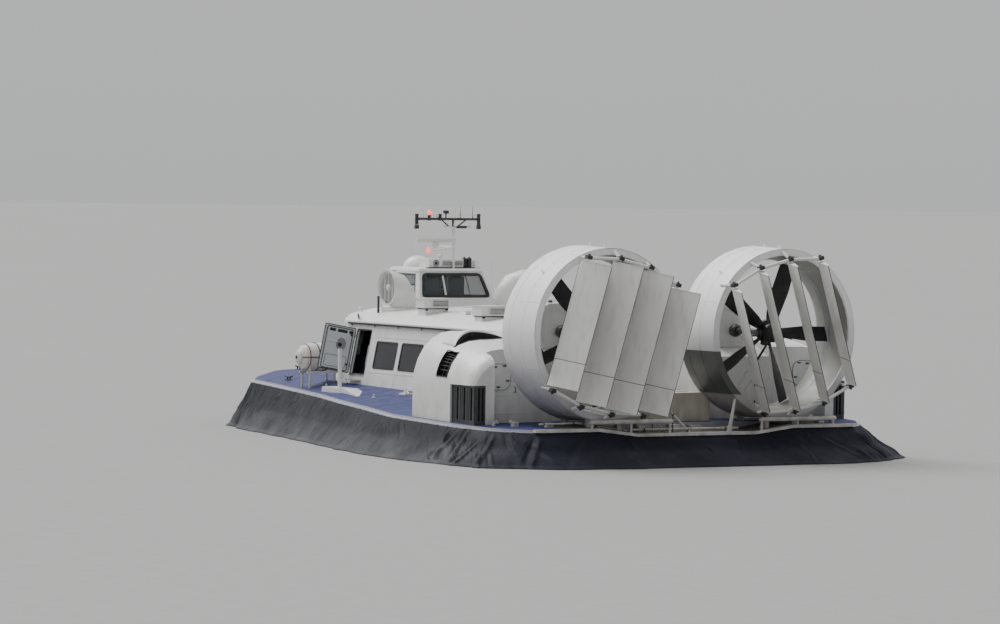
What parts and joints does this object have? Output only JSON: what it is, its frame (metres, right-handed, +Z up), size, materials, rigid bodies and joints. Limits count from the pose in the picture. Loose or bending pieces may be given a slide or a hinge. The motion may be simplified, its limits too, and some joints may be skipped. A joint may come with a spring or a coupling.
{
  "type": "twin-ducted passenger hovercraft",
  "caption": "Passenger hovercraft on its skirt, with ducted propellers, banks of rudders, raised wheelhouse, swivelling bow nozzles and side doors.",
  "frame": {"origin": "on the ground, below the middle of the craft's length and beam", "axes": "+X to the bow, +Y to port, +Z up"},
  "size_m": [22.7999, 12.8, 6.12],
  "materials": {
    "white_paint": "gloss white marine paint, slightly weathered",
    "deck_paint": "blue violet non-slip deck paint, grey tank below",
    "skirt_rubber": "coated fabric, dark grey, folded",
    "skid_metal": "worn aluminium",
    "tinted_glass": "tinted safety glass",
    "dark_grille": "dark grey slats",
    "cream_paint": "weathered cream paint",
    "duct_paint": "gloss white, dark grey lower inboard panel",
    "blade": "black composite blades",
    "rudder_skin": "satin off-white",
    "rail_tube": "white tube",
    "door_skin": "pale grey satin",
    "seat_cloth": "dark blue seat cloth",
    "cabin_dark": "dark grey trim",
    "engine_metal": "engine block",
    "raft_shell": "off-white moulded canister"
  },
  "bodies": {
    "root": {"hull": "deck_paint", "skirt_stern": "skirt_rubber", "skirt_bow": "skirt_rubber", "skirt_port_aft": "skirt_rubber", "skirt_port_fore": "skirt_rubber", "skirt_starboard_aft": "skirt_rubber", "skirt_starboard_fore": "skirt_rubber", "landing_skid_port": "skid_metal", "landing_skid_starboard": "skid_metal", "cabin_side_port": "white_paint", "cabin_side_starboard": "white_paint", "cabin_glazing_port": "tinted_glass", "cabin_glazing_starboard": "tinted_glass", "cabin_front": "white_paint", "windscreen": "tinted_glass", "cabin_rear": "white_paint", "wheelhouse_shell": "white_paint", "wheelhouse_glazing": "tinted_glass", "wheelhouse_roof": "white_paint", "mast": "white_paint", "cabin_roof": "white_paint", "lift_fan_housing_port": "white_paint", "lift_fan_housing_starboard": "white_paint", "intake_louvre_port": "dark_grille", "intake_louvre_starboard": "dark_grille", "engine_housing_port": "white_paint", "engine_housing_starboard": "white_paint", "engine_block_port": "engine_metal", "engine_block_starboard": "engine_metal", "pylon_port": "white_paint", "pylon_starboard": "white_paint", "middle_housing": "cream_paint", "duct_port": "duct_paint", "duct_starboard": "duct_paint", "stern_rail": "rail_tube", "passenger_benches_port": "seat_cloth", "passenger_benches_starboard": "seat_cloth", "helm": "cabin_dark", "liferaft_port": "raft_shell", "liferaft_starboard": "raft_shell", "raft_cradle_port": "rail_tube", "raft_cradle_starboard": "rail_tube", "boarding_step_port": "rail_tube", "boarding_step_starboard": "rail_tube"},
    "propeller_port": {"propeller_port": "blade"},
    "propeller_starboard": {"propeller_starboard": "blade"},
    "rudder_port_1": {"rudder_port_1": "rudder_skin"},
    "rudder_port_2": {"rudder_port_2": "rudder_skin"},
    "rudder_port_3": {"rudder_port_3": "rudder_skin"},
    "rudder_port_4": {"rudder_port_4": "rudder_skin"},
    "rudder_starboard_1": {"rudder_starboard_1": "rudder_skin"},
    "rudder_starboard_2": {"rudder_starboard_2": "rudder_skin"},
    "rudder_starboard_3": {"rudder_starboard_3": "rudder_skin"},
    "rudder_starboard_4": {"rudder_starboard_4": "rudder_skin"},
    "bow_thruster_port": {"bow_thruster_port": "white_paint"},
    "bow_thruster_starboard": {"bow_thruster_starboard": "white_paint"},
    "radar_scanner": {"radar_scanner": "white_paint"},
    "door_port": {"door_port": "door_skin"},
    "door_starboard": {"door_starboard": "door_skin"}
  },
  "joints": [
    {"name": "propeller_port_spin", "type": "hinge", "parent": "root", "child": "propeller_port", "pos_m": [-9.07, 2.54, 3.12], "axis": [1, 0, 0], "continuous": true},
    {"name": "propeller_starboard_spin", "type": "hinge", "parent": "root", "child": "propeller_starboard", "pos_m": [-9.07, -2.54, 3.12], "axis": [1, 0, 0], "continuous": true},
    {"name": "rudder_port_1_turn", "type": "hinge", "parent": "root", "child": "rudder_port_1", "pos_m": [-10.17, 3.906, 3.12], "axis": [0, -0.289, 0.9573], "range_deg": [-70, 10]},
    {"name": "rudder_port_2_turn", "type": "hinge", "parent": "root", "child": "rudder_port_2", "pos_m": [-10.17, 2.996, 3.12], "axis": [0, -0.289, 0.9573], "range_deg": [-70, 10]},
    {"name": "rudder_port_3_turn", "type": "hinge", "parent": "root", "child": "rudder_port_3", "pos_m": [-10.17, 2.081, 3.12], "axis": [0, -0.289, 0.9573], "range_deg": [-70, 10]},
    {"name": "rudder_port_4_turn", "type": "hinge", "parent": "root", "child": "rudder_port_4", "pos_m": [-10.17, 1.182, 3.12], "axis": [0, -0.289, 0.9573], "range_deg": [-70, 10]},
    {"name": "rudder_starboard_1_turn", "type": "hinge", "parent": "root", "child": "rudder_starboard_1", "pos_m": [-10.17, -3.906, 3.12], "axis": [0, 0.289, 0.9573], "range_deg": [-19, 61]},
    {"name": "rudder_starboard_2_turn", "type": "hinge", "parent": "root", "child": "rudder_starboard_2", "pos_m": [-10.17, -2.996, 3.12], "axis": [0, 0.289, 0.9573], "range_deg": [-19, 61]},
    {"name": "rudder_starboard_3_turn", "type": "hinge", "parent": "root", "child": "rudder_starboard_3", "pos_m": [-10.17, -2.081, 3.12], "axis": [0, 0.289, 0.9573], "range_deg": [-19, 61]},
    {"name": "rudder_starboard_4_turn", "type": "hinge", "parent": "root", "child": "rudder_starboard_4", "pos_m": [-10.17, -1.182, 3.12], "axis": [0, 0.289, 0.9573], "range_deg": [-19, 61]},
    {"name": "bow_thruster_port_swivel", "type": "hinge", "parent": "root", "child": "bow_thruster_port", "pos_m": [2.01, 1.72, 3.406], "axis": [0, 0, 1], "range_deg": [-100, 100]},
    {"name": "bow_thruster_starboard_swivel", "type": "hinge", "parent": "root", "child": "bow_thruster_starboard", "pos_m": [2.01, -1.72, 3.406], "axis": [0, 0, 1], "range_deg": [-100, 100]},
    {"name": "radar_scanner_spin", "type": "hinge", "parent": "root", "child": "radar_scanner", "pos_m": [3.11, 0, 5.1], "axis": [0, 0, 1], "continuous": true},
    {"name": "door_port_hinge", "type": "hinge", "parent": "root", "child": "door_port", "pos_m": [2.58, 2.89793, 1.66638], "axis": [0, -0.1994, 0.9799], "range_deg": [0, 115]},
    {"name": "door_starboard_hinge", "type": "hinge", "parent": "root", "child": "door_starboard", "pos_m": [2.58, -2.89793, 1.66638], "axis": [0, 0.1994, 0.9799], "range_deg": [0, 115]}
  ],
  "couplings": [
    {"joint": "rudder_port_2_turn", "follows": "rudder_port_1_turn", "ratio": 1},
    {"joint": "rudder_port_3_turn", "follows": "rudder_port_1_turn", "ratio": 1},
    {"joint": "rudder_port_4_turn", "follows": "rudder_port_1_turn", "ratio": 1},
    {"joint": "rudder_starboard_2_turn", "follows": "rudder_starboard_1_turn", "ratio": 1},
    {"joint": "rudder_starboard_3_turn", "follows": "rudder_starboard_1_turn", "ratio": 1},
    {"joint": "rudder_starboard_4_turn", "follows": "rudder_starboard_1_turn", "ratio": 1}
  ]
}
